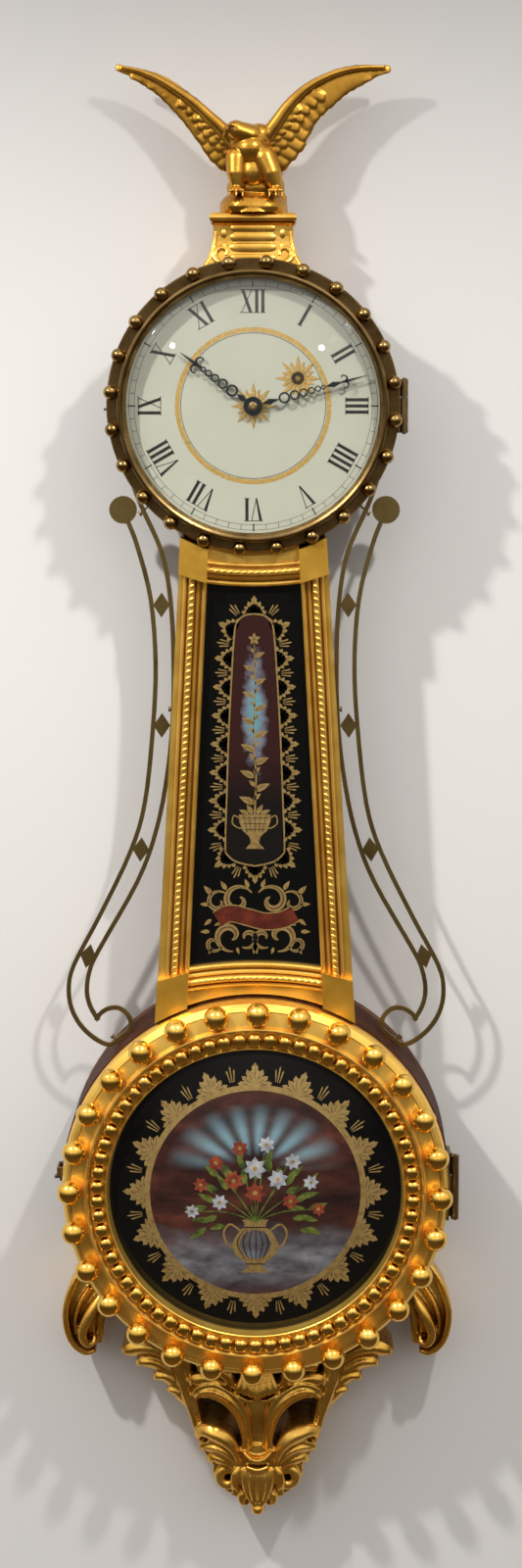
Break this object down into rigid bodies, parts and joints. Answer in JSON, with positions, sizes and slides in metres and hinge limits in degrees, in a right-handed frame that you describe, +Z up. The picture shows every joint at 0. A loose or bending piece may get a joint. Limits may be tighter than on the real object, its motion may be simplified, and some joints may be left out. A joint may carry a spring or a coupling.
{
  "type": "wall clock",
  "caption": "Weight-driven wall clock in a waisted case with a round dial, a tapering throat, a round hinged box door, brass side arms and a gilt eagle finial.",
  "frame": {"origin": "centre of the hanging hole, in the plane of the wall", "axes": "+X to the right seen from the front, +Y into the wall, +Z up"},
  "size_m": [0.3235, 0.1059, 1.1726],
  "materials": {
    "mahogany": "French polish",
    "pine": "stained, oiled",
    "gilt": "burnished gold leaf on carved wood",
    "brass": "lacquered",
    "bezel_brass": "darkened lacquer",
    "movement_brass": "brushed",
    "steel": "plain",
    "blued_steel": "blued",
    "tin": "tinned sheet iron",
    "glass": "clear",
    "painted_glass": "painted on the back, glossy in front",
    "dial_paint": "painted, satin",
    "iron": "as cast",
    "cord": "twisted gut"
  },
  "bodies": {
    "case": {"back_board": "pine", "hanger_plate": "steel", "wood_screws": "steel", "head_ring": "mahogany", "throat_sides": "pine", "drum_ring": "mahogany", "weight_guard": "tin", "side_rails": "gilt", "cross_rails": "gilt", "corner_blocks": "gilt", "throat_tablet": "painted_glass", "tablet_clips": "tin", "sidearms": "brass", "sidearm_pins": "steel", "finial_plinth": "gilt", "eagle": "gilt", "bracket": "gilt", "ears": "gilt", "hinge_fixed_leaves": "brass", "dial_plate": "dial_paint", "dial_screws": "brass", "back_plate": "movement_brass", "front_plate": "movement_brass", "plate_pillars": "movement_brass", "suspension_cock": "movement_brass", "weight_cord": "cord"},
    "bezel": {"bezel_ring": "bezel_brass", "bezel_balls": "bezel_brass", "dial_glass": "glass", "bezel_leaf": "brass", "bezel_fixings": "brass"},
    "bezel_knob": {"bezel_button": "brass"},
    "door": {"door_ring": "gilt", "door_balls": "gilt", "door_beads": "gilt", "door_tablet": "painted_glass", "door_leaf": "brass", "door_fixings": "brass"},
    "door_knob": {"door_button": "brass"},
    "centre": {"centre_arbor": "movement_brass", "cannon_pinion": "movement_brass", "minute_hand": "blued_steel", "hand_collet": "brass"},
    "hour": {"hour_wheel": "movement_brass", "hour_hand": "blued_steel"},
    "minute_work": {"minute_wheel": "movement_brass"},
    "great": {"great_wheel": "movement_brass"},
    "pawl": {"click": "steel"},
    "barrel": {"winding_drum": "movement_brass"},
    "third": {"third_wheel": "movement_brass"},
    "escape": {"escape_wheel": "movement_brass"},
    "anchor": {"verge": "steel"},
    "pendulum": {"pendulum_rod": "movement_brass", "suspension_spring": "steel"},
    "bob": {"pendulum_bob": "movement_brass"},
    "nut": {"rating_nut": "movement_brass"},
    "weight_body": {"weight": "iron"},
    "pulley": {"weight_pulley": "movement_brass"}
  },
  "joints": [
    {"name": "bezel_hinge", "type": "hinge", "parent": "case", "child": "bezel", "pos_m": [0.1159, -0.072, -0.087], "axis": [0, 0, 1], "range_deg": [0, 110]},
    {"name": "door_hinge", "type": "hinge", "parent": "case", "child": "door", "pos_m": [0.159, -0.075, -0.707], "axis": [0, 0, 1], "range_deg": [0, 110]},
    {"name": "bezel_turn_button", "type": "hinge", "parent": "case", "child": "bezel_knob", "pos_m": [-0.109, -0.061, -0.09], "axis": [-1, 0, 0], "range_deg": [0, 90]},
    {"name": "door_turn_button", "type": "hinge", "parent": "case", "child": "door_knob", "pos_m": [-0.155, -0.063, -0.702], "axis": [-1, 0, 0], "range_deg": [0, 90]},
    {"name": "minute_hand_turn", "type": "hinge", "parent": "case", "child": "centre", "pos_m": [0, -0.0755, -0.087], "axis": [0, 1, 0], "continuous": true},
    {"name": "hour_hand_turn", "type": "hinge", "parent": "case", "child": "hour", "pos_m": [0, -0.074, -0.087], "axis": [0, 1, 0], "continuous": true},
    {"name": "minute_wheel_turn", "type": "hinge", "parent": "case", "child": "minute_work", "pos_m": [-0.015, -0.046, -0.087], "axis": [0, 1, 0], "continuous": true},
    {"name": "great_wheel_turn", "type": "hinge", "parent": "case", "child": "great", "pos_m": [0.0342, -0.0384, -0.066], "axis": [0, 1, 0], "continuous": true},
    {"name": "third_wheel_turn", "type": "hinge", "parent": "case", "child": "third", "pos_m": [-0.00758, -0.0296, -0.06423], "axis": [0, 1, 0], "continuous": true},
    {"name": "escape_wheel_turn", "type": "hinge", "parent": "case", "child": "escape", "pos_m": [0, -0.0226, -0.044], "axis": [0, 1, 0], "continuous": true},
    {"name": "pendulum_swing", "type": "hinge", "parent": "case", "child": "pendulum", "pos_m": [0, -0.055, -0.0184], "axis": [0, 1, 0], "range_deg": [-3, 3]},
    {"name": "anchor_rock", "type": "hinge", "parent": "case", "child": "anchor", "pos_m": [0, -0.0226, -0.0184], "axis": [0, 1, 0], "range_deg": [-3, 3]},
    {"name": "bob_slide", "type": "slide", "parent": "pendulum", "child": "bob", "axis": [0, 0, 1], "range_m": [-0.006, 0.006]},
    {"name": "rating_nut_turn", "type": "hinge", "parent": "bob", "child": "nut", "pos_m": [0, -0.055, -0.7524], "axis": [0, 0, 1], "range_deg": [-2200, 2200]},
    {"name": "weight_fall", "type": "slide", "parent": "case", "child": "weight_body", "axis": [0, 0, -1], "range_m": [0, 0.4]},
    {"name": "winding_drum_turn", "type": "hinge", "parent": "case", "child": "barrel", "pos_m": [0.0342, -0.0255, -0.066], "axis": [0, 1, 0], "range_deg": [-5760, 10]},
    {"name": "pulley_turn", "type": "hinge", "parent": "weight_body", "child": "pulley", "pos_m": [0.0152, -0.028, -0.172], "axis": [0, 1, 0], "range_deg": [-10, 2100]},
    {"name": "click_lift", "type": "hinge", "parent": "great", "child": "pawl", "pos_m": [0.0512, -0.0363, -0.066], "axis": [0, -1, 0], "range_deg": [0, 8], "stiffness_Nm_per_rad": 0.002, "springref_deg": -14.32}
  ],
  "couplings": [
    {"joint": "hour_hand_turn", "follows": "minute_hand_turn", "ratio": 0.083333},
    {"joint": "minute_wheel_turn", "follows": "minute_hand_turn", "ratio": -0.33333},
    {"joint": "great_wheel_turn", "follows": "minute_hand_turn", "ratio": -0.083333},
    {"joint": "third_wheel_turn", "follows": "minute_hand_turn", "ratio": -9},
    {"joint": "escape_wheel_turn", "follows": "minute_hand_turn", "ratio": 72},
    {"joint": "anchor_rock", "follows": "pendulum_swing", "ratio": 1},
    {"joint": "rating_nut_turn", "follows": "bob_slide", "rad_per_m": 6283.2},
    {"joint": "winding_drum_turn", "follows": "weight_fall", "rad_per_m": -250},
    {"joint": "pulley_turn", "follows": "weight_fall", "rad_per_m": 90.909}
  ]
}
